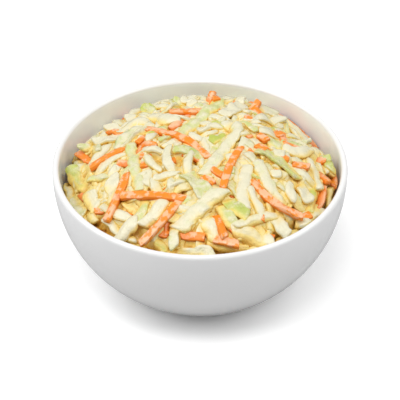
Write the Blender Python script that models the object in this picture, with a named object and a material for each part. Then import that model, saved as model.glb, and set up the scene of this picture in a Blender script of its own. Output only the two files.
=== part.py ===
# A round porcelain bowl filled with coleslaw. Metres, +Z up, origin at the middle of the foot, on the table.
# Two solids: the bowl, turned from one profile, and the heap of shredded cabbage and carrot that it holds.
import math
import random

import bmesh
import bpy
from mathutils import Vector

# Bowl
RIM_RADIUS = 0.065
BOWL_HEIGHT = 0.060
RIM_WALL = 0.0030  # wall thickness at the lip, which is a half circle
OUTER_DEPTH = 0.0675  # depth below the lip at which the outer curve would close, under the table
OUTER_BEND = (2.15, 1.96)  # exponents of the outer curve: 2 and 2 is an ellipse
INNER_DEPTH = 0.0535  # depth below the lip of the middle of the floor
INNER_BEND = (2.40, 2.10)
FOOT_RADIUS = 0.0345
FOOT_WIDTH = 0.0035
FOOT_HEIGHT = 0.0025
RECESS_DEPTH = 0.0016  # how far the underside inside the foot ring stands off the table
EDGE_ROUND = 0.0004

# Salad
CLEARANCE = 0.0004  # between the salad and the wall
WALL_LEVEL = 0.0128  # how far below the rim the salad meets the wall, on average
WALL_LEVEL_SWING = 0.0026  # it lies lower on one side than on the other
LOW_SIDE = math.radians(160)
CROWN = 0.0220  # rise of the dome from the wall level to its middle
CROWN_BEND = 3.4  # a higher exponent gives a flatter top and steeper shoulders
SHRED_COUNT = 110
SHRED_LENGTH = (0.016, 0.040)
SHRED_HALF_WIDTH = (0.0026, 0.0040)
SHRED_RISE = (0.0015, 0.0055)
SHRED_BEND = 2.0  # exponent of a shred's section: 2 is round, more is flatter on top
SHRED_SEED = 11
EDGE_FADE = 10.0  # exponent with which the shreds' relief dies out towards the wall

# Facets
SEGMENTS = 64
WALL_STEPS = 9
LIP_STEPS = 6
HEAP_RINGS = 27
UNDER_STEPS = 5


def curve_radius(depth, radius, full_depth, bend):
    """Radius of a superellipse curve at this depth below its widest point."""
    share = min(max(depth / full_depth, 0.0), 1.0)
    return radius * (1.0 - share ** bend[0]) ** (1.0 / bend[1])


def inner_radius(z):
    """Radius of the bowl's inner wall at height z."""
    depth = BOWL_HEIGHT - RIM_WALL / 2 - z
    return curve_radius(depth, RIM_RADIUS - RIM_WALL, INNER_DEPTH, INNER_BEND)


def wall_points(radius, full_depth, bend, last_depth):
    """(r, z) points down a wall from the lip to last_depth, closer together where the curve turns in."""
    points = []
    for step in range(WALL_STEPS + 1):
        depth = last_depth * math.sin(math.pi / 2 * step / WALL_STEPS)
        z = BOWL_HEIGHT - RIM_WALL / 2 - depth
        points.append((curve_radius(depth, radius, full_depth, bend), z))
    return points


def bowl_profile():
    """(r, z) points from the middle of the floor, up inside, over the lip and down outside to the foot."""
    inside = wall_points(RIM_RADIUS - RIM_WALL, INNER_DEPTH, INNER_BEND, INNER_DEPTH)
    outside = wall_points(RIM_RADIUS, OUTER_DEPTH, OUTER_BEND, BOWL_HEIGHT - RIM_WALL / 2 - FOOT_HEIGHT)
    lip_radius = RIM_WALL / 2
    lip = []
    for step in range(1, LIP_STEPS):
        turn = math.pi * step / LIP_STEPS
        lip.append((
            RIM_RADIUS - lip_radius - lip_radius * math.cos(turn),
            BOWL_HEIGHT - lip_radius + lip_radius * math.sin(turn),
        ))
    foot_inside = FOOT_RADIUS - FOOT_WIDTH
    foot = [
        (FOOT_RADIUS, FOOT_HEIGHT - EDGE_ROUND),
        (FOOT_RADIUS, EDGE_ROUND),
        (FOOT_RADIUS - EDGE_ROUND, 0.0),
        (foot_inside + EDGE_ROUND, 0.0),
        (foot_inside, EDGE_ROUND),
        (foot_inside - EDGE_ROUND, RECESS_DEPTH),
        (0.0, RECESS_DEPTH),
    ]
    return list(reversed(inside)) + lip + outside + foot


def make_material(name, colour, roughness):
    material = bpy.data.materials.new(name)
    material.use_nodes = True
    shader = material.node_tree.nodes["Principled BSDF"]
    shader.inputs["Base Color"].default_value = (*colour, 1.0)
    shader.inputs["Roughness"].default_value = roughness
    shader.inputs["Metallic"].default_value = 0.0
    return material


def add_object(name, mesh, material):
    mesh.materials.append(material)
    obj = bpy.data.objects.new(name, mesh)
    bpy.context.scene.collection.objects.link(obj)
    return obj


def make_bowl(material):
    """The bowl: its profile turned once round Z."""
    profile = bowl_profile()
    mesh = bpy.data.meshes.new("bowl")
    edges = [(i, i + 1) for i in range(len(profile) - 1)]
    mesh.from_pydata([(r, 0.0, z) for r, z in profile], edges, [])
    bowl = add_object("bowl", mesh, material)
    turn = bowl.modifiers.new("turn", "SCREW")
    turn.axis = "Z"
    turn.steps = SEGMENTS
    turn.render_steps = SEGMENTS
    turn.use_merge_vertices = True
    turn.merge_threshold = 0.00001
    turn.use_smooth_shade = True
    return bowl


def scattered_shreds():
    """The shreds that show as ridges on the heap: (start, end, half width, rise), with a fixed seed."""
    chance = random.Random(SHRED_SEED)
    shreds = []
    for _ in range(SHRED_COUNT):
        away = (RIM_RADIUS - RIM_WALL) * math.sqrt(chance.random())
        round_z = chance.uniform(0, 2 * math.pi)
        heading = chance.uniform(0, math.pi)
        half = Vector((math.cos(heading), math.sin(heading))) * chance.uniform(*SHRED_LENGTH) / 2
        middle = Vector((math.cos(round_z), math.sin(round_z))) * away
        half_width = chance.uniform(*SHRED_HALF_WIDTH)
        shreds.append((middle - half, middle + half, half_width, chance.uniform(*SHRED_RISE)))
    return shreds


def ridge_height(point, shreds):
    """Height of the highest shred over this point: each is a bar with a rounded section and ends."""
    highest = 0.0
    for start, end, half_width, rise in shreds:
        along = end - start
        share = min(max((point - start).dot(along) / along.length_squared, 0.0), 1.0)
        off = (point - start - along * share).length / half_width
        if off < 1.0:
            highest = max(highest, rise * (1.0 - off**SHRED_BEND) ** (1.0 / SHRED_BEND))
    return highest


def wall_contact(angle):
    """Height at which the salad meets the wall in this direction."""
    return BOWL_HEIGHT - WALL_LEVEL - WALL_LEVEL_SWING * math.cos(angle - LOW_SIDE)


def heap_point(angle, share, shreds):
    """Top of the heap at a share of the way from its middle to the wall: a dome with shred ridges."""
    contact = wall_contact(angle)
    middle = BOWL_HEIGHT - WALL_LEVEL
    edge_radius = inner_radius(contact) - CLEARANCE
    flat = Vector((math.cos(angle), math.sin(angle))) * edge_radius * share
    dome = middle + (contact - middle) * share + CROWN * (1.0 - share**CROWN_BEND)
    return (flat.x, flat.y, dome + ridge_height(flat, shreds) * (1.0 - share**EDGE_FADE))


def under_point(angle, share):
    """A point of the salad against the wall, at a share of the way down from the top edge to the floor."""
    contact = wall_contact(angle)
    floor = BOWL_HEIGHT - RIM_WALL / 2 - INNER_DEPTH
    z = floor + (contact - floor) * (1.0 - math.sin(math.pi / 2 * share))
    inset = CLEARANCE * (1.0 + share)
    r = max(inner_radius(z) - inset, 0.0)
    return (r * math.cos(angle), r * math.sin(angle), z + inset)


def make_heap(material):
    """The salad: rings of 6, 12, 18 and so on points over its dome, then level rings down the wall."""
    shreds = scattered_shreds()
    build = bmesh.new()
    inner = [build.verts.new(heap_point(0.0, 0.0, shreds))]
    for ring in range(1, HEAP_RINGS + 1):
        count = 6 * ring
        share = ring / HEAP_RINGS
        outer = [build.verts.new(heap_point(2 * math.pi * i / count, share, shreds)) for i in range(count)]
        for i in range(count):
            side, place = divmod(i, ring)
            here = inner[(side * (ring - 1) + place) % len(inner)]
            build.faces.new((here, outer[i], outer[(i + 1) % count]))
            if place < ring - 1:
                there = inner[(side * (ring - 1) + place + 1) % len(inner)]
                build.faces.new((here, outer[(i + 1) % count], there))
        inner = outer

    count = len(inner)
    for step in range(1, UNDER_STEPS):
        angles = [2 * math.pi * i / count for i in range(count)]
        outer = [build.verts.new(under_point(angle, step / UNDER_STEPS)) for angle in angles]
        for i in range(count):
            build.faces.new((inner[i], outer[i], outer[(i + 1) % count], inner[(i + 1) % count]))
        inner = outer
    lowest = build.verts.new(under_point(0.0, 1.0))
    for i in range(count):
        build.faces.new((inner[i], lowest, inner[(i + 1) % count]))

    bmesh.ops.recalc_face_normals(build, faces=build.faces)
    mesh = bpy.data.meshes.new("coleslaw")
    build.to_mesh(mesh)
    build.free()
    mesh.shade_smooth()
    return add_object("coleslaw", mesh, material)


def main():
    for obj in list(bpy.data.objects):
        bpy.data.objects.remove(obj, do_unlink=True)
    make_bowl(make_material("white_glaze", (0.90, 0.90, 0.89), 0.12))
    make_heap(make_material("dressed_cabbage", (0.88, 0.82, 0.58), 0.45))


main()
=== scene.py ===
import math
import bpy
import numpy as np
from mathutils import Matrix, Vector


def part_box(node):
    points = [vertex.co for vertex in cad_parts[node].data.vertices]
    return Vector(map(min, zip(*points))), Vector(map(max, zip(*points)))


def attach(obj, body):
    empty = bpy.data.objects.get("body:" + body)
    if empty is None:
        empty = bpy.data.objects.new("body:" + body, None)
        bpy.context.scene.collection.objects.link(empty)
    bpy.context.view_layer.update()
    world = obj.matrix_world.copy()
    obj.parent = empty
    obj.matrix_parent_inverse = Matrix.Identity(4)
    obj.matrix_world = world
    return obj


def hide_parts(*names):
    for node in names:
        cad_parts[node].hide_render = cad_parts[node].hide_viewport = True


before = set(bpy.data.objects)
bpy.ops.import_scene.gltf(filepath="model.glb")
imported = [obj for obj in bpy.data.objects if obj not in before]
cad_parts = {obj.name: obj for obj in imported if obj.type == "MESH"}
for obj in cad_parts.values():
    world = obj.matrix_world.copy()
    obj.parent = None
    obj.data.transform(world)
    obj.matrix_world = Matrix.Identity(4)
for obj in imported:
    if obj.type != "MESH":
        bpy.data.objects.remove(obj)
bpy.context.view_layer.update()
bowlLow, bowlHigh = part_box("bowl")
rimRadius = (bowlHigh.x - bowlLow.x) / 2
bowlHeight = bowlHigh.z
print("frame loaded: bowl", round(rimRadius * 2000), "mm across,", round(bowlHeight * 1000), "mm high")


# shared helpers: meshes

def addObject(name, data):
    # a new object in the scene, holding the data
    thing = bpy.data.objects.new(name, data)
    bpy.context.scene.collection.objects.link(thing)
    return thing


def meshPiece(name, points, faces, material, uvs=None, values=None):
    # points in metres, faces as tuples, uvs a pair for each face corner, values an array for each attribute;
    # triangles = the sum over the faces of their corners less two
    mesh = bpy.data.meshes.new(name)
    mesh.from_pydata(points.tolist(), [], faces)
    mesh.polygons.foreach_set("use_smooth", np.ones(len(faces), bool))
    if uvs is not None:
        layer = mesh.uv_layers.new(name="alongPiece")
        layer.data.foreach_set("uv", uvs.astype(np.float32).ravel())
    for key, value in (values or {}).items():
        layer = mesh.attributes.new(key, "FLOAT", "POINT")
        layer.data.foreach_set("value", value.astype(np.float32))
    mesh.update()
    mesh.materials.append(material)
    piece = addObject(name, mesh)
    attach(piece, "root")
    triangles = sum(len(face) - 2 for face in faces)
    print("piece", name, "has", triangles, "triangles")
    return piece


def ringFaces(rings, sides):
    # quads between neighbouring closed rings, wound to face outwards: point = ring * sides + place on it
    row = np.arange(rings - 1)[:, None] * sides
    column = np.arange(sides)[None, :]
    nextColumn = (column + 1) % sides
    corners = (row + column, row + nextColumn, row + sides + nextColumn, row + sides + column)
    return np.stack(corners, -1).reshape(-1, 4)


def closedFaces(rings, sides):
    # the same quads, then a fan of triangles at each end: two more points follow the last ring, the first of
    # them closing the first ring and the second closing the last
    faces = [tuple(f) for f in ringFaces(rings, sides).tolist()]
    low, high, lastRing = rings * sides, rings * sides + 1, (rings - 1) * sides
    faces += [(low, (k + 1) % sides, k) for k in range(sides)]
    faces += [(lastRing + k, lastRing + (k + 1) % sides, high) for k in range(sides)]
    return faces


# shared helpers: materials

def newMaterial(name):
    # an empty material with its node tree and its one surface shader
    material = bpy.data.materials.new(name)
    material.use_nodes = True
    tree = material.node_tree
    return material, tree, tree.nodes["Principled BSDF"]


def wire(tree, node, **wires):
    # sets or links each input named in wires; i0 and i1 stand for inputs by number
    for key, value in wires.items():
        socket = node.inputs[int(key[1:])] if key[1:].isdigit() else node.inputs[key.replace("_", " ")]
        if isinstance(value, bpy.types.NodeSocket):
            tree.links.new(value, socket)
        else:
            socket.default_value = value


def put(tree, kind, settings=None, **wires):
    # adds a node, sets its properties and wires its inputs
    node = tree.nodes.new(kind)
    for key, value in (settings or {}).items():
        setattr(node, key, value)
    wire(tree, node, **wires)
    return node


def calc(tree, operation, first, second=0.0, third=0.0, clamp=False):
    # one sum on two values, or on three: a MULTIPLY_ADD gives first * second + third
    return put(tree, "ShaderNodeMath", {"operation": operation, "use_clamp": clamp}, i0=first, i1=second,
               i2=third).outputs[0]


def blendColours(tree, share, first, second, mode="MIX"):
    # first * (1 - share) + second * share; MULTIPLY takes first * second in the place of second
    return put(tree, "ShaderNodeMix", {"data_type": "RGBA", "blend_type": mode, "clamp_factor": True},
               i0=share, i6=first, i7=second).outputs[2]


def tint(tree, colour, red, green, blue):
    # the colour times one value for each channel
    factors = put(tree, "ShaderNodeCombineColor", None, Red=red, Green=green, Blue=blue).outputs[0]
    return blendColours(tree, 1.0, colour, factors, "MULTIPLY")


def remap(tree, value, low, high):
    # a smooth step from 0 at low to 1 at high: t * t * (3 - 2 * t), t = (value - low) / (high - low)
    return put(tree, "ShaderNodeMapRange", {"interpolation_type": "SMOOTHSTEP"}, Value=value, From_Min=low,
               From_Max=high).outputs["Result"]


def noise(tree, vector, scale, detail=2.0, roughness=0.5):
    # cloudy values round 0.5, with about scale lumps to the metre
    return put(tree, "ShaderNodeTexNoise", None, Vector=vector, Scale=scale, Detail=detail,
               Roughness=roughness).outputs["Fac"]


def attribute(tree, name):
    # a value stored at the mesh's points
    return put(tree, "ShaderNodeAttribute", {"attribute_name": name}).outputs["Fac"]


def newGroup(name, inputs, outputs):
    # a shader group with named sockets: inputs as name, kind, default; outputs as name, kind; gives the
    # group, the sockets that it is given and the node that takes what it makes
    group = bpy.data.node_groups.new(name, "ShaderNodeTree")
    for key, kind, value in inputs:
        socket = group.interface.new_socket(key, in_out="INPUT", socket_type="NodeSocket" + kind)
        if value is not None:
            socket.default_value = value
    for key, kind in outputs:
        group.interface.new_socket(key, in_out="OUTPUT", socket_type="NodeSocket" + kind)
    return group, group.nodes.new("NodeGroupInput").outputs, group.nodes.new("NodeGroupOutput")


def makeMottleGroup():
    # slow and fine unevenness: Height = 0.6 * slow + 0.4 * fine, Tone = 1 + 2 * Strength * (Height - 0.5)
    group, given, made = newGroup("mottle", [
        ("Vector", "Vector", None), ("Coarse", "Float", 60.0), ("Fine", "Float", 600.0),
        ("Strength", "Float", 0.05)], [("Tone", "Float"), ("Height", "Float")])
    slow = noise(group, given["Vector"], given["Coarse"], 2.0)
    fine = noise(group, given["Vector"], given["Fine"], 3.0, 0.6)
    both = calc(group, "MULTIPLY_ADD", fine, 0.4, calc(group, "MULTIPLY", slow, 0.6))
    swing = calc(group, "MULTIPLY", calc(group, "SUBTRACT", both, 0.5), given["Strength"])
    wire(group, made, Tone=calc(group, "MULTIPLY_ADD", swing, 2.0, 1.0), Height=both)
    return group


dressingSet = {
    "goldShadeDepth": (0.45, 2.7), "brownShadeDepth": (2.3, 5.2),  # where each painted shade colour starts and is full, mm deep
    "turned": 0.85,  # how much of each painted shade colour shows there
    "nookReach": 0.003, "nookOpen": (0.15, 0.95),  # how near the walls of a nook are, m; how open it is
    "nookPaintedWarmth": (1.14, 1.02, 0.62, 1.0),  # what a nook's painted warm shade multiplies the colour by
}


def makeDressingGroup():
    # creamy film over a shred: Color is the bare food, covered by cream where Film plus a patchy noise passes
    # a half, then turning to painted shade, gold and at last brown, as Depth, in mm, grows, and warmer in
    # narrow nooks, a painted warm shade where pieces meet; Wet is 1 on thick cream;
    # Height = 0.3 * Wet + 0.5 * drops + 0.8 * patches + 0.05 * grain
    group, given, made = newGroup("dressing", [
        ("Vector", "Vector", None), ("Bare", "Color", None), ("Cream", "Color", None),
        ("Gold", "Color", None), ("Brown", "Color", None), ("Film", "Float", 0.5),
        ("Patches", "Float", 1.2), ("Crispness", "Float", 2.0), ("Depth", "Float", 0.0)],
        [("Color", "Color"), ("Wet", "Float"), ("Height", "Float")])
    vector = given["Vector"]
    patch = noise(group, vector, 330.0, 3.0, 0.55)
    drops = noise(group, vector, 1100.0, 2.0, 0.5)
    grain = noise(group, vector, 3200.0, 2.0, 0.5)
    swing = calc(group, "MULTIPLY", calc(group, "SUBTRACT", patch, 0.5), given["Patches"])
    level = calc(group, "ADD", swing, calc(group, "MULTIPLY_ADD", drops, 0.2, -0.1))
    cover = calc(group, "SUBTRACT", calc(group, "ADD", level, given["Film"]), 0.5)
    wet = remap(group, calc(group, "MULTIPLY", cover, given["Crispness"]), -0.5, 0.5)
    colour = blendColours(group, calc(group, "MULTIPLY", wet, 0.9), given["Bare"], given["Cream"])
    uneven = calc(group, "MULTIPLY_ADD", calc(group, "SUBTRACT", patch, 0.5), 0.8, given["Depth"])
    # painted shade: gold, then brown, as the depth under the heap's top grows
    for key, depths in (("Gold", dressingSet["goldShadeDepth"]), ("Brown", dressingSet["brownShadeDepth"])):
        share = calc(group, "MULTIPLY", remap(group, uneven, *depths), dressingSet["turned"])
        colour = blendColours(group, share, colour, given[key])
    height = calc(group, "MULTIPLY_ADD", wet, 0.3, calc(group, "MULTIPLY_ADD", drops, 0.5,
                  calc(group, "MULTIPLY_ADD", patch, 0.8, calc(group, "MULTIPLY", grain, 0.05))))
    # painted warm shade: narrow nooks, found by ambient occlusion, warm the colour
    free = put(group, "ShaderNodeAmbientOcclusion", {"samples": 8},
               Distance=dressingSet["nookReach"]).outputs["AO"]
    nook = calc(group, "SUBTRACT", 1.0, remap(group, free, *dressingSet["nookOpen"]))
    nookWarmShade = blendColours(group, 1.0, colour, dressingSet["nookPaintedWarmth"], "MULTIPLY")
    wire(group, made, Color=blendColours(group, nook, colour, nookWarmShade), Wet=wet, Height=height)
    return group


mottleGroup = makeMottleGroup()
dressingGroup = makeDressingGroup()


# camera, light, floor

cameraSet = {
    "lens": 132.75, "sensor": 36.0,      # mm
    "distance": 0.65,                    # from the rim's middle, m
    "elevation": 37.4,                   # degrees above the table
    "aimHeight": 0.038,                  # m above the table
}
lightSet = {
    "world": 0.47,
    "aimHeight": 0.03,                   # the lamps look at this height in the bowl, m
    "lamps": {                           # place in m, disc size in m, power in W
        "topLamp": ((-0.1, -0.6, 1.9), 0.7, 9.0),
        "leftLamp": ((-1.3, -0.1, 1.5), 1.8, 24.0),
        "rightLamp": ((1.3, -0.15, 1.6), 1.8, 18.0),
    },
    "floor": (0.56, 0.56, 0.56, 1.0),
    "floorSeen": (1.11, 1.11, 1.11, 1.0),  # the floor as the camera sees it, which washes out to white
    "floorReach": 8.0,                   # m
}


def turnTo(thing, place, aimHeight):
    # moves a thing to its place and turns it to a point over the middle of the table
    thing.location = place
    aim = Vector((0, 0, aimHeight))
    thing.rotation_euler = (aim - Vector(place)).to_track_quat("-Z", "Y").to_euler()


def makeCamera():
    # place = rim's middle + distance * (0, -cos, sin) of the elevation, looking at the aim
    up = math.radians(cameraSet["elevation"])
    rimMiddle = Vector((0, 0, bowlHeight - bowlSet["rimWall"] / 2))
    place = rimMiddle + cameraSet["distance"] * Vector((0, -math.cos(up), math.sin(up)))
    data = bpy.data.cameras.new("camera")
    data.lens = cameraSet["lens"]
    data.sensor_width = cameraSet["sensor"]
    camera = addObject("camera", data)
    turnTo(camera, place, cameraSet["aimHeight"])
    bpy.context.scene.camera = camera


def makeLight(name, place, size, power):
    # a round soft lamp turned to the bowl
    data = bpy.data.lights.new(name, "AREA")
    data.shape = "DISK"
    data.size = size
    data.energy = power
    turnTo(addObject(name, data), place, lightSet["aimHeight"])


def makeStage():
    # an even white sky, the lamps and the floor; the floor looks brighter than the light that it gives back
    world = bpy.data.worlds.new("studio")
    world.use_nodes = True
    sky = world.node_tree.nodes["Background"]
    wire(world.node_tree, sky, Color=(1, 1, 1, 1), Strength=lightSet["world"])
    bpy.context.scene.world = world
    bpy.context.scene.view_settings.view_transform = "Standard"
    for name, (place, size, power) in lightSet["lamps"].items():
        makeLight(name, place, size, power)
    material, tree, shader = newMaterial("paleFloor")
    real = put(tree, "ShaderNodeBsdfDiffuse", None, Color=lightSet["floor"])
    seen = put(tree, "ShaderNodeBsdfDiffuse", None, Color=lightSet["floorSeen"])
    ray = put(tree, "ShaderNodeLightPath")
    mixed = put(tree, "ShaderNodeMixShader", None, i0=ray.outputs["Is Camera Ray"], i1=real.outputs[0],
                i2=seen.outputs[0])
    wire(tree, tree.nodes["Material Output"], Surface=mixed.outputs[0])
    tree.nodes.remove(shader)
    mesh = bpy.data.meshes.new("floor")
    reach = lightSet["floorReach"]
    mesh.from_pydata([(-reach, -reach, 0), (reach, -reach, 0), (reach, reach, 0), (-reach, reach, 0)], [],
                     [(0, 1, 2, 3)])
    mesh.materials.append(material)
    floor = addObject("floor", mesh)


# the bowl

bowlSet = {
    "rimWall": 0.003, "outerDepth": 0.0675, "outerBend": (2.15, 1.96),
    "innerDepth": 0.0535, "innerBend": (2.40, 2.10),
    "footRadius": 0.0345, "footWidth": 0.0035, "footHeight": 0.0025, "recess": 0.0016, "edge": 0.0004,
    "wallSteps": 44, "lipSteps": 12, "around": 192,
    # the inside glaze is painted light: brighter and bluer than the outside, to lift the shaded inner wall
    # and cancel the salad's warm bounce
    "glaze": (0.785, 0.785, 0.785, 1.0), "glazeInsidePaintedLight": (0.90, 0.965, 1.0, 1.0),
    "lipFade": 0.0022, "lipPaintedShade": (0.76, 0.755, 0.74, 1.0),  # how far down the lip's darker, warmer painted shade reaches, m
    "biscuit": (0.66, 0.61, 0.53, 1.0), "biscuitPale": (0.72, 0.68, 0.6, 1.0),
    "unglazed": (0.0005, 0.0003),        # the glaze ends between these heights, m
}
wallMiddle = bowlHeight - bowlSet["rimWall"] / 2
innerRim = rimRadius - bowlSet["rimWall"]


def wallRadius(depth, radius, fullDepth, bend):
    # a wall's radius at a depth below the lip: radius * (1 - (depth / fullDepth) ^ a) ^ (1 / b)
    return radius * np.clip(1 - (depth / fullDepth) ** bend[0], 0, 1) ** (1 / bend[1])


def bowlProfile():
    # radius and height along the bowl's section: from the middle of the underside out over the foot ring,
    # up the outer wall, over the round lip and down the inner wall to the middle of the floor
    b = bowlSet
    foot, inside, edge = b["footRadius"], b["footRadius"] - b["footWidth"], b["edge"]
    turn = np.radians([0, 30, 60, 90])
    under = [(inside * share, b["recess"]) for share in (0.25, 0.5, 0.75, 0.93)]
    ringIn = [(inside - edge + edge * math.sin(a), b["recess"] - edge + edge * math.cos(a)) for a in turn]
    ringLow = [(inside + edge - edge * math.cos(a), edge - edge * math.sin(a)) for a in turn]
    ringOut = [(foot - edge + edge * math.sin(a), edge - edge * math.cos(a)) for a in turn]
    outerStep = np.sin(np.linspace(0.5, 0, b["wallSteps"] + 1) * np.pi)
    outerDepth = (wallMiddle - b["footHeight"]) * outerStep
    outer = np.stack([wallRadius(outerDepth, rimRadius, b["outerDepth"], b["outerBend"]),
                      wallMiddle - outerDepth], 1)
    join = [(foot, b["footHeight"] - edge), (foot + 0.4 * edge, b["footHeight"] - 0.3 * edge),
            (foot + 1.4 * edge, b["footHeight"])]
    lipTurn = np.linspace(0, np.pi, b["lipSteps"] + 1)[1:-1]
    half = b["rimWall"] / 2
    lip = np.stack([rimRadius - half + half * np.cos(lipTurn), wallMiddle + half * np.sin(lipTurn)], 1)
    innerStep = np.sin(np.linspace(0, 0.5, b["wallSteps"] + 1) * np.pi)
    innerDepth = b["innerDepth"] * innerStep
    inner = np.stack([wallRadius(innerDepth, innerRim, b["innerDepth"], b["innerBend"]),
                      wallMiddle - innerDepth], 1)[:-1]
    return np.concatenate([under, ringIn, ringLow, ringOut, join, outer, lip, inner])


def makeBowl():
    # the section turned round the bowl's axis, closed by one point at each end
    profile = bowlProfile()
    sides = bowlSet["around"]
    angle = np.arange(sides) * 2 * np.pi / sides
    ring = np.stack([profile[:, :1] * np.cos(angle), profile[:, :1] * np.sin(angle),
                     np.repeat(profile[:, 1:], sides, 1)], -1)
    poles = np.array([(0, 0, bowlSet["recess"]), (0, 0, wallMiddle - bowlSet["innerDepth"])])
    points = np.concatenate([ring.reshape(-1, 3), poles])
    inward = np.repeat(np.arange(len(profile)) >= len(profile) - bowlSet["wallSteps"], sides)
    inward = np.concatenate([inward, [0, 1]]).astype(float)
    bowl = meshPiece("bowlGlazed", points, closedFaces(len(profile), sides), makePorcelain(),
                     values={"inside": inward})
    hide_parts("bowl")


def makePorcelain():
    # white glaze with a slow unevenness; painted shade makes it a little darker and warmer at the lit lip,
    # and painted light makes the inner wall brighter and bluer; the foot ring is unglazed
    material, tree, shader = newMaterial("whitePorcelain")
    where = put(tree, "ShaderNodeTexCoord").outputs["Object"]
    xyz = put(tree, "ShaderNodeSeparateXYZ", None, Vector=where)
    mottle = put(tree, "ShaderNodeGroup", {"node_tree": mottleGroup}, Vector=where, Coarse=45.0, Fine=700.0,
                 Strength=0.02)
    # painted light: the inner wall brighter and bluer than the outside
    glaze = blendColours(tree, attribute(tree, "inside"), bowlSet["glaze"], bowlSet["glazeInsidePaintedLight"])
    glaze = tint(tree, glaze, *[mottle.outputs["Tone"]] * 3)
    # painted shade: the top of the lip a little darker and warmer
    lip = remap(tree, xyz.outputs["Z"], bowlHeight - bowlSet["lipFade"], bowlHeight)
    glaze = blendColours(tree, calc(tree, "MULTIPLY", lip, 0.5), glaze, bowlSet["lipPaintedShade"])
    grit = noise(tree, where, 2600.0, 3.0, 0.7)
    foot = remap(tree, calc(tree, "MULTIPLY_ADD", grit, 0.0002, xyz.outputs["Z"]), *bowlSet["unglazed"])
    biscuit = blendColours(tree, grit, bowlSet["biscuit"], bowlSet["biscuitPale"])
    sheen = calc(tree, "MULTIPLY_ADD", mottle.outputs["Height"], 0.08, 0.12)
    height = calc(tree, "MULTIPLY_ADD", calc(tree, "MULTIPLY", grit, foot), 3.0, mottle.outputs["Height"])
    bump = put(tree, "ShaderNodeBump", None, Height=height, Strength=0.25, Distance=0.00006)
    wire(tree, shader, Base_Color=blendColours(tree, foot, glaze, biscuit),
         Roughness=calc(tree, "MULTIPLY_ADD", foot, 0.55, sheen), Normal=bump.outputs["Normal"], IOR=1.5)
    return material


# the heap's ground, a grid of heights in mm

mm = 0.001
gridStep = 0.5
gridHalf = 66.0
gridCount = int(2 * gridHalf / gridStep) + 1
gridAxis = np.linspace(-gridHalf, gridHalf, gridCount)
gridX, gridY = np.meshgrid(gridAxis, gridAxis, indexing="ij")

heapSet = {
    "wallLevel": 12.8, "wallSwing": 2.6, "lowSide": math.radians(160),  # where the salad meets the wall
    "crown": 23.4, "crownBend": 3.4,  # how far and how flat the top swells
    "swells": [(-49, 17, 2.6, 6), (47, 24, -4.5, 12)],  # x, y, height and reach of a hump and a dip
    "coreDrop": 8.0, "coreEdgeDrop": -2.5,  # the core lies at least this far under the top
    "bedDrop": 2.0, "headroom": 3.0,  # room under and over the top for the strips
    "fillDrop": 2.7, "topDrop": 0.7, "uneven": 0.9,  # the random strips' levels under the top
    "deepFill": {"count": 800, "tries": 20, "room": 0.5, "pitch": 1.4, "turn": 0.4},
    "upperFill": {"count": 8000, "tries": 1, "room": 0.6, "pitch": 1.5, "turn": 0.4},
    "spread": 60.0, "edge": 58.0, "wallReach": 60.8,  # how far out strips start, turn and may end
    "wallGap": 1.0, "outside": 61.0,  # gap to the wall; the ground's height beyond it
    "sauceBlur": 0.9, "sauceDrop": (0.4, 2.1), "holes": 4.5,  # the dressing between the strips
    "hidden": 2.0,  # a strip this far under the top is left out
    "skinLift": 2.5, "skinReach": 1.8, "skinBlur": 1.2,  # the surface from which the painted shade's depth is measured
    "sideShadeDepth": 1.9, "sauceDepth": 0.9,  # sides and undersides get this much more painted shade depth, the dressing this much less, mm
    "seed": 20,  # other numbers give other random strips
}


def innerWallRadius(z):
    # the inner wall's radius at a height, both in mm
    depth = np.clip(wallMiddle / mm - z, 0, bowlSet["innerDepth"] / mm)
    return wallRadius(depth, innerRim / mm, bowlSet["innerDepth"] / mm, bowlSet["innerBend"])


def innerWallHeight(radius):
    # the inner wall's height at a radius: the same formula turned round
    share = np.clip(radius / (innerRim / mm), 0, 1)
    a, b = bowlSet["innerBend"]
    return wallMiddle / mm - bowlSet["innerDepth"] / mm * (1 - share ** b) ** (1 / a)


def contactHeight(angle):
    # the height at which the salad meets the wall, lowest on one side
    level = bowlHeight / mm - heapSet["wallLevel"]
    return level - heapSet["wallSwing"] * np.cos(angle - heapSet["lowSide"])


def topHeight(x, y):
    # the smooth top of the heap: the wall's contact height carried inwards, plus crown * (1 - share ^ bend),
    # plus a bell-shaped hump or dip for each of the swells
    radius, angle = np.hypot(x, y), np.arctan2(y, x)
    contact = contactHeight(angle)
    share = np.clip(radius / (innerWallRadius(contact) - 0.4), 0, 1)
    level = bowlHeight / mm - heapSet["wallLevel"]
    height = level + (contact - level) * share + heapSet["crown"] * (1 - share ** heapSet["crownBend"])
    for atX, atY, rise, reach in heapSet["swells"]:
        height = height + rise * np.exp(-0.5 * ((x - atX) ** 2 + (y - atY) ** 2) / reach ** 2)
    return height


def heightAt(ground, x, y):
    # the ground's height between grid points, by a mean weighted along both sides
    gx = np.clip((x + gridHalf) / gridStep, 0, gridCount - 1.001)
    gy = np.clip((y + gridHalf) / gridStep, 0, gridCount - 1.001)
    ix, iy = gx.astype(int), gy.astype(int)
    fx, fy = gx - ix, gy - iy
    near = ground[ix, iy] * (1 - fy) + ground[ix, iy + 1] * fy
    far = ground[ix + 1, iy] * (1 - fy) + ground[ix + 1, iy + 1] * fy
    return near * (1 - fx) + far * fx


def blurGrid(values, radius):
    # a bell-shaped mean along each side of the grid, radius in mm
    reach = int(math.ceil(3 * radius / gridStep))
    weight = np.exp(-0.5 * (np.arange(-reach, reach + 1) * gridStep / radius) ** 2)
    weight /= weight.sum()
    for axis in (0, 1):
        padded = np.pad(values, [(reach, reach) if a == axis else (0, 0) for a in (0, 1)], mode="edge")
        values = sum(w * np.take(padded, np.arange(k, k + gridCount), axis) for k, w in enumerate(weight))
    return values


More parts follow.
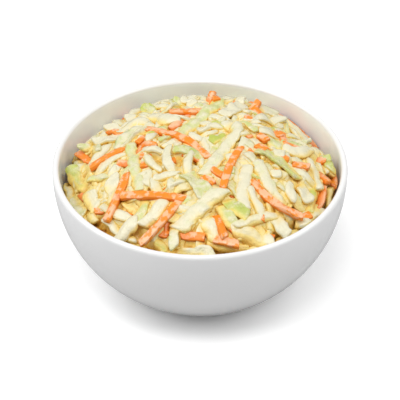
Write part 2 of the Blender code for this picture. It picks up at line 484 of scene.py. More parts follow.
def growGrid(values, radius):
    # the highest value within a round reach, in mm
    reach = int(radius / gridStep)
    result = values.copy()
    for dx in range(-reach, reach + 1):
        for dy in range(-reach, reach + 1):
            if dx * dx + dy * dy <= reach * reach:
                result = np.maximum(result, np.roll(values, (dx, dy), (0, 1)))
    return result


def lumps(points, wave, seed):
    # a smooth uneven field round 0: the mean of eight sine waves in scattered directions, wave in mm
    rng = np.random.default_rng(seed)
    ways = rng.normal(size=(8, 3))
    ways *= (2 * np.pi / wave) * rng.uniform(0.6, 1.5, (8, 1)) / np.linalg.norm(ways, axis=1, keepdims=True)
    return np.sin(points @ ways.T + rng.uniform(0, 2 * np.pi, 8)).mean(-1) * 1.6


def lumpsAlong(distance, wave, seed):
    # the same field along one straight line
    return lumps(np.column_stack([distance, 0 * distance, 0 * distance]), wave, seed)


def unit(vectors):
    # each row divided by its length
    return vectors / np.linalg.norm(vectors, axis=1, keepdims=True)


# shreds

shredSet = {
    # sag, bend: tightest curves over hollows and humps, 1/mm; power: how square the section is; end, blunt:
    # how the ends are rounded; cut: how slanted they are; sink, lump, wiggle: in mm; uneven, taper: how much
    # the width changes; wave: how far it rises and falls along its length, mm; twist: its turns, radians;
    # thick: the thickness of a listed strip, mm
    "cream": {"sag": 1 / 9, "bend": 1 / 9, "power": 2.9, "sink": 0.7, "lump": 0.32, "wiggle": 0.5,
              "wave": 0.4, "twist": 0.34, "end": 0.45, "blunt": (0.62, 0.88), "uneven": 0.17, "taper": 0.3,
              "cut": 0.8, "thick": 2.7},
    "leaf": {"sag": 1 / 10, "bend": 1 / 10, "power": 3.0, "sink": 0.6, "lump": 0.26, "wiggle": 0.6,
             "wave": 0.5, "twist": 0.34, "end": 0.45, "blunt": (0.6, 0.87), "uneven": 0.17, "taper": 0.35,
             "cut": 0.8, "thick": 1.9},
    "carrot": {"sag": 1 / 45, "bend": 1 / 40, "power": 6.5, "sink": 0.6, "lump": 0.08, "wiggle": 0.15,
               "wave": 0.08, "twist": 0.05, "end": 0.18, "blunt": (0.84, 0.95), "uneven": 0.05,
               "taper": 0.08, "cut": 0.4, "thick": 2.4},
}


def bowedPath(start, end, bow, wiggle, rng):
    # a line from start to end pushed sideways by 4 * bow * t * (1 - t), plus one slow sideways wave
    start, end = np.array(start, float), np.array(end, float)
    run = end - start
    length = np.hypot(*run)
    t = np.linspace(0, 1, max(6, int(length / 0.8)))[:, None]
    side = np.array([-run[1], run[0]]) / length
    wave = wiggle * np.sin(2 * np.pi * (t * rng.uniform(0.6, 1.3) + rng.uniform()))
    return start + run * t + side * (4 * bow * t * (1 - t) + wave)


def smoothAlong(values, times):
    # each value becomes (the one before + 2 * itself + the one after) / 4, several times
    for _ in range(times):
        padded = np.pad(values, 1, mode="edge")
        values = (padded[:-2] + 2 * values + padded[2:]) / 4
    return values


def layShred(ground, kind, path, width, thick, rng, turn=0.0, pitch=0.0, ceiling=None, floor=None):
    # lets a strip down on the ground: it bridges hollows no tighter than sag, bows over humps no tighter than
    # bend, leans with the ground across its width, and sinks a little into what is under it; a strip given a
    # ceiling is pushed down until it fits beneath; one given a floor loses 0.6 of its mean height over that
    # floor, so that a stiff strip lies in the heap and not on its highest point
    k = shredSet[kind]
    tangent = unit(np.gradient(path, axis=0))
    side = np.stack([-tangent[:, 1], tangent[:, 0]], 1)
    steps = np.concatenate([[0], np.cumsum(np.hypot(*np.diff(path, axis=0).T))])
    offset = np.array([-0.45, -0.25, 0, 0.25, 0.45]) * width
    spots = path[:, None] + side[:, None] * offset[None, :, None]
    heights = heightAt(ground, spots[..., 0], spots[..., 1])
    slope = np.clip((heights * offset).sum(1) / (offset ** 2).sum(), -0.7, 0.7)
    slope = smoothAlong(slope, 6) * 0.75
    lean = heights - slope[:, None] * offset
    under = 0.7 * lean.max(1) + 0.3 * lean.mean(1)
    gap = (steps[:, None] - steps[None, :]) ** 2 / 2
    apex = (under[None, :] - k["sag"] * gap).max(1)
    bridged = (apex[:, None] + k["sag"] * gap).min(0)
    carried = (bridged[:, None] - k["bend"] * gap).max(0)
    carried = smoothAlong(carried, 3) + pitch * (steps / steps[-1] - 0.5)
    seed = int(rng.integers(1 << 30))
    angle = np.arctan(slope) + turn + k["twist"] * lumpsAlong(steps, 8.0, seed)
    carried = carried + k["wave"] * lumpsAlong(steps, 6.0, seed + 1)
    if floor is not None:
        carried -= 0.6 * np.clip((carried - heightAt(floor, path[:, 0], path[:, 1])).mean(), 0, 4)
    if ceiling is not None:
        tip = thick - k["sink"] + np.abs(offset) * 0.9 * abs(math.sin(turn))
        over = carried[:, None] + slope[:, None] * offset + tip
        over = over - heightAt(ceiling, spots[..., 0], spots[..., 1])
        push = np.maximum(over.max(1), 0)
        push = np.maximum(push, smoothAlong(push, 8))
        carried = carried - smoothAlong(push, 3)
    centre = np.column_stack([path, carried + thick / 2 - k["sink"]])
    along = unit(np.gradient(centre, axis=0))
    across = np.column_stack([side * np.cos(angle)[:, None], np.sin(angle)])
    across = unit(across - (across * along).sum(1, keepdims=True) * along)
    up = np.cross(along, across)
    return {"kind": kind, "steps": steps, "centre": centre, "along": along, "across": across, "up": up,
            "width": width, "thick": thick, "seed": int(rng.integers(1 << 30)),
            "cut": k["cut"] * rng.uniform(-1, 1, 2), "taper": k["taper"] * rng.uniform(0, 1, 2),
            "cup": 0.0 if kind == "carrot" else rng.uniform(-0.14, 0.18)}


def readShred(shred, distance):
    # the laid strip's middle line and its three directions at some distances along it
    at = {}
    for key in ("centre", "along", "across", "up"):
        columns = [np.interp(distance, shred["steps"], column) for column in shred[key].T]
        at[key] = np.stack(columns, 1)[:, None]
    return at


def markShred(ground, shred, ceiling=False):
    # raises the ground to the strip's upper side, or lowers a ceiling to its underside
    length, width = shred["steps"][-1], shred["width"] + (1.0 if ceiling else 0.0)
    s = np.arange(0.2, length, 0.33)
    o = np.linspace(-0.5, 0.5, max(5, int(width / 0.33)))
    power = shredSet[shred["kind"]]["power"]
    rise = shred["thick"] / 2 * (1 - np.abs(2 * o) ** power) ** (1 / power) * (-0.6 if ceiling else 1)
    read = readShred(shred, s)
    top = read["centre"] + read["across"] * (o * width)[:, None] + read["up"] * rise[:, None]
    ix = np.clip(np.rint((top[..., 0] + gridHalf) / gridStep).astype(int), 0, gridCount - 1)
    iy = np.clip(np.rint((top[..., 1] + gridHalf) / gridStep).astype(int), 0, gridCount - 1)
    change = np.minimum if ceiling else np.maximum
    change.at(ground, (ix.ravel(), iy.ravel()), top[..., 2].ravel())


def sweepShred(shred, sides, spacing):
    # a superellipse section carried along the laid strip: the ends are cut slantwise and rounded, the width
    # tapers a little to each end, the section is cupped, and small lumps lie on all of it
    k = shredSet[shred["kind"]]
    length, width, thick = shred["steps"][-1], shred["width"], shred["thick"]
    edge = min(k["end"] * thick, 0.2 * length)
    inner = np.linspace(edge, length - edge, max(3, int((length - 2 * edge) / spacing) + 1))
    s = np.concatenate([[0, 0.3 * edge], inner, [length - 0.3 * edge, length]])
    shrink = np.ones(len(s))
    shrink[[0, 1, -2, -1]] = k["blunt"] + k["blunt"][::-1]
    read = readShred(shred, s)
    t = np.arange(sides) * 2 * np.pi / sides + np.pi / sides
    o = np.sign(np.cos(t)) * np.abs(np.cos(t)) ** (2 / k["power"])
    q = np.sign(np.sin(t)) * np.abs(np.sin(t)) ** (2 / k["power"])
    reach = np.clip(1 - np.stack([s, length - s], 1) / min(5.0, 0.4 * length), 0, 1) ** 2
    broad = 1 - (reach * shred["taper"]).sum(1)
    broad = broad + k["uneven"] * lumpsAlong(s, 5.0, shred["seed"])
    o2 = (o[None, :] * (shrink * broad)[:, None]) * width / 2
    cup = shred["cup"] * width * (2 * o2 / width) ** 2
    q2 = q[None, :] * shrink[:, None] * thick / 2 + cup
    nearEnd = np.clip(1 - np.stack([s, length - s], 1) / (1.1 * width), 0, 1)
    slant = o2 * (nearEnd[:, :1] * shred["cut"][0] + nearEnd[:, 1:] * shred["cut"][1])
    points = read["centre"] + read["across"] * o2[..., None] + read["up"] * q2[..., None] \
        + read["along"] * slant[..., None]
    away = read["across"] * (o2 / width)[..., None] + read["up"] * (q2 / thick)[..., None]
    away /= np.linalg.norm(away, axis=2, keepdims=True) + 1e-9
    bulge = lumps(points, 3.0, shred["seed"] + 1) + 0.8 * lumps(points, 6.0, shred["seed"] + 2)
    points = points + away * (k["lump"] * bulge)[..., None]
    radius = np.hypot(points[..., 0], points[..., 1])
    limit = innerWallRadius(points[..., 2]) - 0.12
    pull = np.where(points[..., 2] < wallMiddle / mm, np.minimum(1, limit / (radius + 1e-9)), 1)
    points[..., :2] *= pull[..., None]
    quads = ringFaces(len(s), sides)
    rise = (read["up"] * q2[..., None] + read["across"] * o2[..., None])[..., 2]
    upness = np.clip(rise / (0.5 * thick), -1, 1)
    rim = np.linspace(0, 2 * (width + thick), sides + 1)
    cornerU = (s + shred["seed"] % 997)[quads // sides]
    column = quads % sides
    column[:, 1:3] = column[:, 0:1] + 1
    quadUv = np.stack([cornerU, rim[column]], -1).reshape(-1, 2) * mm
    capUv = np.column_stack([np.repeat(s[[0, -1]], sides), np.tile(rim[:-1], 2)]) * mm
    first = np.arange(sides)[::-1]
    last = (len(s) - 1) * sides + np.arange(sides)
    return {"points": points.reshape(-1, 3), "quads": quads, "caps": [first, last], "quadUv": quadUv,
            "capUv": capUv, "share": np.repeat(s / length, sides), "upness": upness.ravel()}


def joinShreds(name, shreds, material, envelope):
    # puts every strip of one kind into one mesh, with its tone, film, shade (a random tone for each strip)
    # and
    # depth stored at each point: depth, which sets the painted shade, = envelope - height + the side weight *
    # (0.7 - upness), where upness is 1 on top and -1 underneath; film gains 0.16 * upness, partly dressing on
    # top and partly painted top light
    points, faces, quadUvs, capUvs, caps = [], [], [], [], []
    values = {"tone": [], "film": [], "shade": [], "depth": []}
    count = 0
    for shred in shreds:
        made = sweepShred(shred, shred["sides"], shred["spacing"])
        points.append(made["points"])
        faces += [tuple(f) for f in (made["quads"] + count).tolist()]
        caps += [tuple((c + count).tolist()) for c in made["caps"]]
        quadUvs.append(made["quadUv"])
        capUvs.append(made["capUv"])
        tone = shred["tone"][0] + (shred["tone"][1] - shred["tone"][0]) * made["share"]
        values["tone"].append(tone)
        # more cream film on the upper side: partly dressing, partly painted top light
        values["film"].append(np.clip(shred["film"] + 0.16 * made["upness"], 0, 1))
        values["shade"].append(np.full(len(tone), shred["shade"]))
        # depth for the painted shade: deeper under the envelope, and on sides and undersides, paints gold and
        # brown
        deep = heightAt(envelope, made["points"][:, 0], made["points"][:, 1]) - made["points"][:, 2]
        deep = deep + heapSet["sideShadeDepth"] * np.clip(0.7 - made["upness"], 0, 1.2)
        values["depth"].append(np.clip(deep, 0, 12))
        count += len(tone)
    return meshPiece(name, np.concatenate(points) * mm, faces + caps, material,
                     np.concatenate(quadUvs + capUvs), {key: np.concatenate(v) for key, v in values.items()})


# what lies where: mm from the bowl's middle, x to the right, y to the back
# carrots: start x, start y, end x, end y, bow, layer (1 deep, 2 middle, 3 on top), film of cream

carrotSpots = [
    (-24.5, 14, 3.5, -10, 3.5, 2, 0.5), (-33, 3, -48, -6, 0, 3, 0.25), (-14, 28, 3, 27, 0, 2, 0.55),
    (-12, 22, -8, 18, 0, 1, 0.5), (-55, 15, -50, 8, 0, 2, 0.4), (-50, 4, -46, 1, 0, 1, 0.3),
    (-27.5, 4, -24, 8, 0, 1, 0.4), (-26, -6.5, -19.5, -5, 0, 1, 0.6),
    (-25.5, -12.5, -20.5, -12.5, 0, 1, 0.3), (-15.5, -14, -10.5, -11, 0, 1, 0.3),
    (-34, -29.5, -6, -33.5, 1, 3, 0.35), (-31, -15, -39.5, -39, 0.6, 2, 0.45),
    (-45, -29, -40, -29.5, 0, 1, 0.6), (-36, -34, -29, -37, 0, 1, 0.1),
    (-8.5, -33.5, -25, -53, 1.6, 3, 0.5), (-17, -47, -13, -48, 0, 1, 0.4), (-8, -48.5, 2, -51, 0, 2, 0.5),
    (18, -2, 9.5, -31, -1, 2, 0.35), (5, -18, 10, -23, 0, 1, 0.3), (1, -23, 6, -27, 0, 1, 0.5),
    (22, -23, 43, -38, -4, 3, 0.55), (41, -36, 47, -32, 0, 2, 0.4), (21, -39, 27, -42, 0, 1, 0.3),
    (6.5, -41, 10.5, -53, 0, 2, 0.3), (6, -52, 16, -55, 0, 2, 0.6), (36.5, 15, 44.5, 3, -3.3, 2, 0.5),
    (40, -8, 47.5, -9, 0, 2, 0.6), (35, -6, 38.5, -8, 0, 1, 0.3), (24.5, -1, 29, -4, 0, 1, 0.4),
    (25.5, 7, 29.5, 3, 0, 2, 0.4), (33, 14, 36, 10, 0, 2, 0.4), (20.5, 24, 23, 20, 0, 2, 0.4),
    (24, 34, 28, 29, 0, 3, 0.4), (5, 44, 8, 38, 0, 3, 0.4), (15, 38, 19, 37, 0, 2, 0.4),
    (50, 3, 56, 5, 0, 2, 0.4), (51, -5, 56, -11, 0, 2, 0.35), (28, -46.5, 31, -46.5, 0, 1, 0.2),
    (12.5, -48, 17.5, -44, 0, 1, 0.4), (20, -44, 23, -44, 0, 1, 0.4),
]
# cabbage: start x, start y, end x, end y, bow, width, layer, green at the start and at the end, film of cream
cabbageSpots = [
    (-31, 6, -26, -28, 0.5, 5.8, 2, 0.45, 0.25, 0.35), (9, 36, -9, 8, 0.5, 6.2, 3, 0.5, 0.35, 0.3),
    (21, 38, 10, 22, 0, 6.6, 2, 0.1, 0.1, 0.7), (17, 13, 1, -21, 1.5, 6.6, 3, 0.1, 0.2, 0.5),
    (4, 2, 11, 8, 0, 7, 1, 0.9, 1, 0.1), (6, 18, 12, 13, 0, 5, 1, 0.7, 0.6, 0.2),
    (-5, 6, 1, 3, 0, 5, 2, 0, 0, 0.8), (-1, 9, 4, 12, 0, 5, 2, 0, 0.2, 0.8),
    (4, 11, 9, 13, 0, 5, 2, 0, 0, 0.8), (11, 17, 20, 5, 0, 7, 2, 0.1, 0.1, 0.7),
    (-22, 28, -12, 16, 0, 8, 2, 0.1, 0.2, 0.7), (-27, 40, -20, 33, 0, 5, 3, 0.9, 0.5, 0.3),
    (-13, 45, -9, 38, 0, 5, 3, 0.9, 0.4, 0.3), (-7, 44, -5, 38, 0, 5, 3, 0, 0.1, 0.8),
    (-48, 15, -36, 12, 0.5, 6, 2, 0.1, 0.1, 0.7), (-58, 5, -47, -14, -1, 7, 3, 0.75, 0.6, 0.25),
    (-48, -10, -38, -14, 0, 5, 3, 0.5, 0.35, 0.4), (-55, -11, -50, -28, 0, 5.5, 2, 0.4, 0.3, 0.4),
    (-48, -16, -44, -28, 0, 7.5, 2, 0.1, 0.1, 0.8), (-38, -14, -36, -28, 0, 7, 2, 0.05, 0, 0.75),
    (-23, -16, -21, -27, 0, 6, 1, 0.1, 0.1, 0.7), (-20, -22, -9, -20, 0.5, 5, 2, 0, 0.1, 0.8),
    (-6, -20, 3, -35, 0.5, 8, 2, 0.4, 0.45, 0.35), (9, -31, -10, -47, 0.8, 8, 3, 0.25, 0.05, 0.55),
    (-23, -30, -28, -43, 0.6, 5.5, 2, 0.6, 0.4, 0.35), (-15, -33, -24, -44, 1, 6.5, 2, 0.05, 0, 0.85),
    (-26, -41, -35, -47, 0, 6.5, 2, 0, 0, 0.8), (-11, -42, -10.5, -55, 0, 4.2, 3, 0.3, 0.2, 0.45),
    (-19, -50, -13, -54, 0, 5.5, 2, 0.9, 0.7, 0.2), (-24, -50, -19, -53, 0, 5, 1, 0.7, 0.7, 0.3),
    (2, -43, 8, -53, 0, 8, 2, 0.05, 0, 0.7), (-10, -54, 6, -56, 0.5, 5, 2, 0.1, 0.05, 0.6),
    (20, -14, 18, -39, -0.5, 6.5, 2, 0.1, 0, 0.75), (24, -12, 34, -33, -0.6, 6, 3, 0.2, 0.3, 0.55),
    (20.5, -28, 27, -42, 0, 4.4, 2, 0, 0.1, 0.9), (24, -4, 42, -18, 1, 5.5, 3, 0.5, 0.7, 0.3),
    (29, 6, 37, 1, 0, 6, 2, 0.45, 0.5, 0.35), (38, 13, 48, 15, 0, 4.5, 2, 0.2, 0.3, 0.5),
    (38, 19, 46, 21, 0, 4.5, 2, 0.2, 0.2, 0.5), (36, 2, 48, 8, -4.5, 6, 3, 0.05, 0.05, 0.7),
    (48, 0, 52, -18, 0.5, 4.4, 3, 0.15, 0.3, 0.6), (52, -12, 47, -31, -1.2, 5, 2, 0.8, 0.6, 0.25),
    (42, -19, 47, -28, 0, 6.5, 2, 0.05, 0, 0.8), (35, -20, 36, -31, 3, 4.6, 2, 0.3, 0.4, 0.5),
    (39, -20, 41, -30, -2, 4.4, 2, 0, 0.1, 0.7), (30, -19, 35, -18, 0, 5, 2, 0.1, 0.1, 0.8),
    (11, -34, 20, -43, -0.5, 6, 2, 0.75, 0.8, 0.25), (8, -37, 15, -48, 0, 6.4, 2, 0.45, 0.5, 0.3),
    (35, -36, 14, -47, 0.5, 5.2, 3, 0.1, 0.25, 0.55), (13, -48, 31, -51, 0.8, 8.5, 2, 0.1, 0.05, 0.7),
    (29, -38, 37, -46, 0, 6.2, 2, 0.1, 0.05, 0.7), (40, -38, 46, -39, 0, 5.5, 2, 0.05, 0.1, 0.7),
    (55, 9, 58, -1, 0, 5, 3, 0.8, 0.6, 0.25), (14, -55.5, 26, -52.5, 0, 5, 1, 0.1, 0.2, 0.6),
    (-31, -47.5, -22, -52, 0, 5, 1, 0.05, 0.1, 0.7), (46, -35, 52, -26, 0, 5, 1, 0.1, 0.1, 0.7),
    (-52, -23, -46, -35, 0, 5, 1, 0.1, 0, 0.8), (-46, -35, -39, -42, 0, 5, 1, 0.1, 0.2, 0.7),
]

# tips that stand up: kind, start x, start y, end x, end y, width, rise, green at start and end, film
tipSpots = [
    ("leaf", 6, 31, 9, 41, 6, 6, 0.6, 0.5, 0.3), ("carrot", 3, 36, 6, 43, 3.4, 7, 0, 0, 0.35),
    ("leaf", -22, 33, -24, 41, 5, 6, 0.5, 0.9, 0.3), ("leaf", -9, 36, -10, 44, 5.5, 6, 0.5, 0.8, 0.4),
    ("cream", -4, 34, -3, 42, 5, 4, 0, 0.1, 0.8), ("carrot", 22, 31, 27, 38, 3.4, 6, 0, 0, 0.4),
    ("cream", 30, 24, 37, 31, 5.5, 5, 0.1, 0.2, 0.7), ("leaf", 42, 12, 50, 17, 5, 5, 0.3, 0.4, 0.5),
    ("leaf", 16, 33, 18, 41, 7, 4, 0.1, 0.1, 0.7), ("cream", -35, 21, -42, 28, 5.5, 6, 0.1, 0.2, 0.7),
    ("leaf", -46, 12, -54, 15, 5, 6, 0.3, 0.5, 0.5), ("leaf", 52, 1, 58, 6, 5, 5, 0.8, 0.7, 0.3),
    ("cream", -30, 27, -33, 35, 5, 4, 0, 0.2, 0.8),
]


def randomShred(ground, level, rng, kind, length, width, tries):
    # of several random lines inside the bowl, the one with the most room between ground and level
    best = None
    for _ in range(tries):
        radius, angle = heapSet["spread"] * math.sqrt(rng.uniform()), rng.uniform(0, 2 * np.pi)
        middle = radius * np.array([math.cos(angle), math.sin(angle)])
        way, bow = rng.uniform(0, np.pi), rng.normal() * (0.03 if kind == "carrot" else 0.07) * length
        if radius + length / 2 > heapSet["edge"]:          # near the wall it runs along it
            way = angle + np.pi / 2 + rng.uniform(-0.3, 0.3)
            bow = -length ** 2 / (8 * radius)
        half = length / 2 * np.array([math.cos(way), math.sin(way)])
        ends = (middle - half, middle + half)
        if max(np.hypot(*e) for e in ends) > heapSet["wallReach"] - 0.4 * width:
            continue
        spots = np.linspace(ends[0], ends[1], 5)
        room = (heightAt(level, *spots.T) - heightAt(ground, *spots.T)).mean()
        if best is None or room > best[0]:
            best = (room, ends, bow)
    if best is None:
        return 0, None
    return best[0], bowedPath(best[1][0], best[1][1], best[2], shredSet[kind]["wiggle"], rng)


def fillHeap(ground, level, ceiling, rng, shreds, mix, count, tries, room, pitch, turn):
    # adds random strips that find enough room under the level: many tries seek out the lowest places, a
    # single try leaves gaps open; tips may stand over the level, and only the ceiling stops them
    for _ in range(count):
        kind, length, width, thick, tone, film = pickShred(rng, mix)
        found, path = randomShred(ground, level, rng, kind, length, width, tries)
        if found < room * thick:
            continue
        shred = layShred(ground, kind, path, width, thick, rng, turn=rng.normal() * turn,
                         pitch=rng.normal() * pitch, ceiling=ceiling)
        shred.update(tone=tone, film=film, shade=rng.uniform(-1, 1), sides=8, spacing=1.5)
        markShred(ground, shred)
        shreds.append(shred)


# the random strips, deep in the heap and near its top: until: the kind comes when a number from 0 to 1 is
# under this; spans in mm; green: a leaf's at its start; end: a leaf's share of that left at its end, or the
# green of a cream strip's end
mixSet = {
    "deep": {
        "carrot": {"until": 0.15, "length": (9, 20), "width": (2.8, 3.3), "thick": (2.1, 2.6),
                   "film": (0.3, 0.6)},
        "leaf": {"until": 0.4, "length": (8, 20), "width": (3.0, 5.2), "thick": (1.4, 1.8),
                 "green": (0.3, 0.9), "end": (0.4, 1.0), "film": (0.2, 0.5)},
        "cream": {"until": 1.0, "length": (8, 20), "width": (3.0, 4.6), "thick": (2.0, 2.8),
                  "end": (0, 0.25), "film": (0.6, 0.9)},
    },
    "upper": {
        "carrot": {"until": 0.11, "length": (8, 15), "width": (2.9, 3.4), "thick": (2.2, 2.7),
                   "film": (0.35, 0.65)},
        "leaf": {"until": 0.42, "length": (12, 22), "width": (4.2, 6.2), "thick": (1.8, 2.3),
                 "green": (0.1, 1.0), "end": (0.3, 1.0), "film": (0.35, 0.75)},
        "cream": {"until": 1.0, "length": (11, 24), "width": (3.6, 5.2), "thick": (2.2, 2.8),
                  "end": (0, 0.6), "film": (0.55, 0.95)},
    },
}


def pickShred(rng, mix):
    # kind, length, width, thickness, green at both ends and film of one random strip
    luck = rng.uniform()
    kind = next(key for key in mix if luck < mix[key]["until"])
    spans = mix[kind]
    start = rng.uniform(*spans["green"]) if kind == "leaf" else 0
    length, width, thick = [rng.uniform(*spans[key]) for key in ("length", "width", "thick")]
    end = 0 if kind == "carrot" else rng.uniform(*spans["end"]) * (start if kind == "leaf" else 1)
    return kind, length, width, thick, (start, end), rng.uniform(*spans["film"])


def pathsByHand(rng):
    # the listed strips with their paths: kind, path, width, thickness, tone, film, layer, rise
    rows = [("cream" if row[9] > 0.5 else "leaf", row[:5], row[5], row[7:9], row[9], row[6], 0)
            for row in cabbageSpots]
    rows += [("carrot", row[:5], rng.uniform(2.9, 3.4) + 0.5 * (row[5] > 1), (0, 0), row[6], row[5], 0)
             for row in carrotSpots]
    rows += [(row[0], (*row[1:5], 0), row[5], row[7:9], row[9], 2, row[6]) for row in tipSpots]
    return [(kind, bowedPath(line[:2], line[2:4], line[4], 0.5 * shredSet[kind]["wiggle"], rng), width,
             shredSet[kind]["thick"], *rest) for kind, line, width, *rest in rows]


def layHeap():
    # goal: the smooth top; bed: a little under it, where the listed strips are laid, layer by layer;
    # then random strips fill the room from the core up to the placed ones' undersides, first deep, then near
    # the top; the dressing is the blurred top of the strips less a drop, plus fine lumps, less the holes
    h = heapSet
    rng = np.random.default_rng(h["seed"])
    radius = np.hypot(gridX, gridY)
    gapRadius = radius + h["wallGap"]
    wall = np.where(gapRadius < innerRim / mm, innerWallHeight(gapRadius), h["outside"])
    goal = topHeight(gridX, gridY)
    edgeShare = np.clip(radius / h["edge"], 0, 1) ** 6
    base = goal - h["coreDrop"] - h["coreEdgeDrop"] * edgeShare
    bed = np.maximum(goal - h["bedDrop"], wall)
    top, upper = bed.copy(), bed.copy()
    ceiling = goal + h["headroom"]
    shreds = []
    rows = pathsByHand(rng)
    for layer in (1, 2, 3):
        for kind, path, width, thick, tone, film, at, rise in rows:
            if at != layer:
                continue
            loose = 0.3 if kind == "carrot" else 1.0
            shred = layShred(top, kind, path, width, thick, rng, turn=rng.normal() * 0.15 * loose,
                             pitch=rise + rng.normal() * loose, floor=bed)
            shred.update(tone=tone, film=film, shade=rng.uniform(-1, 1), sides=14, spacing=0.9)
            markShred(top, shred)
            if layer > 1:
                markShred(upper, shred)
            markShred(ceiling, shred, ceiling=True)
            shreds.append(shred)
    print("strips placed by hand:", len(shreds))
    ground = np.maximum(base, wall)
    fillHeap(ground, np.minimum(goal - h["fillDrop"], ceiling), ceiling, rng, shreds, mixSet["deep"],
             **h["deepFill"])
    print("with the deep random ones:", len(shreds))
    for shred in shreds[:sum(row[6] == 1 for row in rows)]:
        markShred(ground, shred)
    ceiling = np.where(upper > bed + 0.05, upper - 0.5, goal + h["headroom"])
    spots = np.stack([gridX, gridY, 0 * gridX], -1)
    uneven = h["uneven"] * lumps(spots, 9.0, 11)
    fillHeap(ground, np.minimum(goal - h["topDrop"] + uneven, ceiling), ceiling, rng, shreds,
             mixSet["upper"], **h["upperFill"])
    print("with the upper ones:", len(shreds))
    fill = blurGrid(ground, h["sauceBlur"]) - h["sauceDrop"][0]
    for shred in shreds[:len(rows)]:
        markShred(ground, shred)
    sauce = np.maximum(fill, blurGrid(ground, h["sauceBlur"]) - h["sauceDrop"][1])
    holes = h["holes"] * np.clip(lumps(spots, 8.0, 7) - 0.1, 0, 1)
    sauce = np.maximum(sauce + 0.3 * lumps(spots, 4.5, 5) + 0.2 * lumps(spots, 2.4, 6) - holes, base)
    seen = [shred for shred in shreds if standsOut(shred, sauce, ground)]
    print("of which seen:", len(seen))
    return ground, sauce, seen


def standsOut(shred, sauce, ground):
    # whether any part of the strip's upper side lies over the sauce and near the top of the heap
    x, y = shred["centre"][:, 0], shred["centre"][:, 1]
    top = shred["centre"][:, 2] + shred["thick"] / 2
    return bool(((top > heightAt(sauce, x, y)) & (top > heightAt(ground, x, y) - heapSet["hidden"])).any())


# the salad's materials

saladSet = {
    # gold and brown are painted shade for the cabbage and the dressing
    "cream": (0.71, 0.665, 0.495, 1.0), "gold": (0.83, 0.625, 0.165, 1.0), "brown": (0.60, 0.31, 0.03, 1.0),
    "paleLeaf": (0.69, 0.68, 0.41, 1.0), "greenLeaf": (0.46, 0.51, 0.09, 1.0),
    # carrotDeepAndShade is the root's deep fibre colour and also its first painted shade; carrotShadeBrown
    # its deepest painted shade
    "carrot": (0.82, 0.255, 0.016, 1.0), "carrotCream": (0.85, 0.48, 0.28, 1.0),
    "carrotDeepAndShade": (0.78, 0.20, 0.012, 1.0), "carrotShadeBrown": (0.45, 0.10, 0.01, 1.0),
    "shine": {"Specular IOR Level": 0.42, "Coat Weight": 0.2, "Coat Roughness": 0.16, "IOR": 1.48,
              "Subsurface Weight": 0.15, "Subsurface Radius": (1.0, 0.95, 0.85), "Subsurface Scale": 0.0005},
}


def finishFood(tree, shader, bare, film, coatAndShadeColours, dry, bumpDepth, grain=None, grainHeight=0.0, **more):
    # dresses the bare colour, painting shade into hollows and nooks with the last two colours given, then
    # adds the shine, relief and soft glow that all the salad shares: roughness = dry - 0.14 * wet,
    # height = grainHeight * grain + the dressing's height
    colours = {key: saladSet[coat] for key, coat in zip(("Cream", "Gold", "Brown"), coatAndShadeColours)}
    where = put(tree, "ShaderNodeTexCoord").outputs["Object"]
    coat = put(tree, "ShaderNodeGroup", {"node_tree": dressingGroup}, Vector=where, Bare=bare, Film=film,
               Depth=attribute(tree, "depth"), **colours, **more)
    rough = calc(tree, "MULTIPLY_ADD", coat.outputs["Wet"], -0.14, dry)
    height = coat.outputs["Height"]
    if grain is not None:
        height = calc(tree, "MULTIPLY_ADD", grain, grainHeight, height)
    bump = put(tree, "ShaderNodeBump", None, Height=height, Strength=0.8, Distance=bumpDepth)
    wire(tree, shader, Base_Color=coat.outputs["Color"], Roughness=rough, Normal=bump.outputs["Normal"],
         **saladSet["shine"])


def grainAlong(tree, lengthwise, crosswise):
    # noise drawn out along the strip, with so many lumps to the metre along it and across it
    along = put(tree, "ShaderNodeUVMap", {"uv_map": "alongPiece"}).outputs["UV"]
    drawn = put(tree, "ShaderNodeMapping", None, Vector=along, Scale=(lengthwise, crosswise, 1)).outputs[0]
    return noise(tree, drawn, 1.0, 3.0, 0.6)


def makeCabbageMaterial(name, strength):
    # leaf from cream to green by tone, with veins along the strip, under patches of dressing
    material, tree, shader = newMaterial(name)
    veins = grainAlong(tree, 140, 900)
    tone = calc(tree, "MULTIPLY_ADD", calc(tree, "SUBTRACT", veins, 0.5), 0.5, attribute(tree, "tone"))
    leaf = blendColours(tree, calc(tree, "MULTIPLY", tone, strength, clamp=True), saladSet["paleLeaf"],
                        saladSet["greenLeaf"])
    shade = calc(tree, "MULTIPLY_ADD", attribute(tree, "shade"), 0.04, 1.0)
    leaf = tint(tree, leaf, shade, shade, calc(tree, "MULTIPLY", shade, shade))
    # gold and brown: painted shade in the hollows and nooks
    finishFood(tree, shader, leaf, attribute(tree, "film"), ("cream", "gold", "brown"), 0.36, 0.0007,
               veins, 0.35)
    return material


def makeCarrotMaterial():
    # orange root with fine fibres along the strip, the dressing lying on it as thin pink-white streaks
    material, tree, shader = newMaterial("carrotShreds")
    fibres = grainAlong(tree, 120, 1700)
    streaks = grainAlong(tree, 190, 620)
    root = blendColours(tree, remap(tree, fibres, 0.3, 0.7), saladSet["carrotDeepAndShade"], saladSet["carrot"])
    root = blendColours(tree, 0.6, root, saladSet["carrot"])
    film = calc(tree, "ADD", attribute(tree, "film"), calc(tree, "MULTIPLY_ADD", streaks, 0.8, -0.51))
    # deep orange and brown: painted shade in the hollows and nooks
    finishFood(tree, shader, root, film, ("carrotCream", "carrotDeepAndShade", "carrotShadeBrown"), 0.34, 0.0003,
               fibres, 0.3, Patches=2.4, Crispness=4.5)
    return material


def makeDressingMaterial():
    # the dressing between the strips: cream on its humps, gold and brown painted shade in its hollows
    material, tree, shader = newMaterial("creamyDressing")
    finishFood(tree, shader, saladSet["paleLeaf"], 0.55, ("cream", "gold", "brown"), 0.34, 0.0007)
    return material


# the core

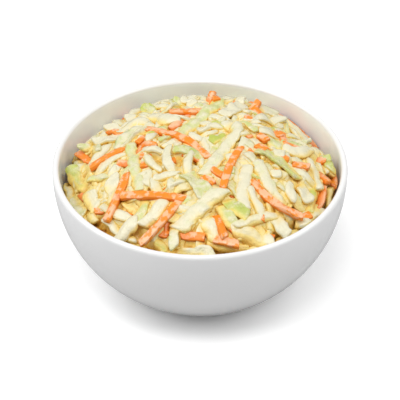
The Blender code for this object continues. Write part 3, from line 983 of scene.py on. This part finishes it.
coreSet = {"rings": 130, "around": 560, "underSteps": 16, "gap": 0.35}


def makeCore(sauce, envelope):
    # the dressing's height on rings round the middle, coming down over the outer tenth to the salad's edge;
    # the underside follows the bowl's inner wall with a gap
    angle = np.arange(coreSet["around"]) * 2 * np.pi / coreSet["around"]
    contact = contactHeight(angle) - heapSet["coreDrop"] - heapSet["coreEdgeDrop"]
    edge = innerWallRadius(contact) - coreSet["gap"]
    share = (np.arange(1, coreSet["rings"] + 1) / coreSet["rings"])[:, None]
    x, y = share * edge * np.cos(angle), share * edge * np.sin(angle)
    z = heightAt(sauce, x, y)
    z = np.minimum(z, np.where(share > 0.9, contact + 8 * (1 - share) / 0.1, 99))
    wallLimit = innerWallHeight(np.hypot(x, y) + coreSet["gap"])
    z = np.maximum(z, wallLimit)
    z[-1] = contact
    top = np.stack([x, y, z], -1)[::-1]
    floorLevel = (wallMiddle - bowlSet["innerDepth"]) / mm + coreSet["gap"]
    drop = np.sin(np.linspace(0, 0.5, coreSet["underSteps"] + 1)[1:-1] * np.pi)[:, None]
    lowZ = contact + (floorLevel - contact) * drop
    lowRadius = innerWallRadius(lowZ - coreSet["gap"]) - coreSet["gap"]
    below = np.stack([lowRadius * np.cos(angle), lowRadius * np.sin(angle), lowZ], -1)[::-1]
    grid = np.concatenate([below, top])
    points = np.concatenate([grid.reshape(-1, 3), [(0, 0, floorLevel), (0, 0, float(heightAt(
        sauce, np.array(0.0), np.array(0.0))))]])
    # depth for the painted shade, counted less deep on the dressing
    deep = heightAt(envelope, points[:, 0], points[:, 1]) - points[:, 2] - heapSet["sauceDepth"]
    core = meshPiece("dressingCore", points * mm, closedFaces(len(grid), coreSet["around"]),
                     makeDressingMaterial(), values={"depth": np.clip(deep, 0, 12)})
    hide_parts("coleslaw")


# build

makeCamera()
makeStage()
print("camera, lights and floor done")
makeBowl()
ground, sauce, shreds = layHeap()
# the surface from which the painted shade's depth is measured: the highest strip near each place, smoothed
skin = np.minimum(ground, topHeight(gridX, gridY) + heapSet["skinLift"])
envelope = blurGrid(growGrid(skin, heapSet["skinReach"]), heapSet["skinBlur"])
makeCore(sauce, envelope)
carrots = [s for s in shreds if s["kind"] == "carrot"]
cabbages = [s for s in shreds if s["kind"] != "carrot"]
pale = [s for s in cabbages if max(s["tone"]) < 0.3]
green = [s for s in cabbages if max(s["tone"]) >= 0.3]
joinShreds("cabbagePale", pale, makeCabbageMaterial("paleCabbage", 0.9), envelope)
joinShreds("cabbageGreen", green, makeCabbageMaterial("greenCabbage", 1.25), envelope)
joinShreds("carrotShreds", carrots, makeCarrotMaterial(), envelope)
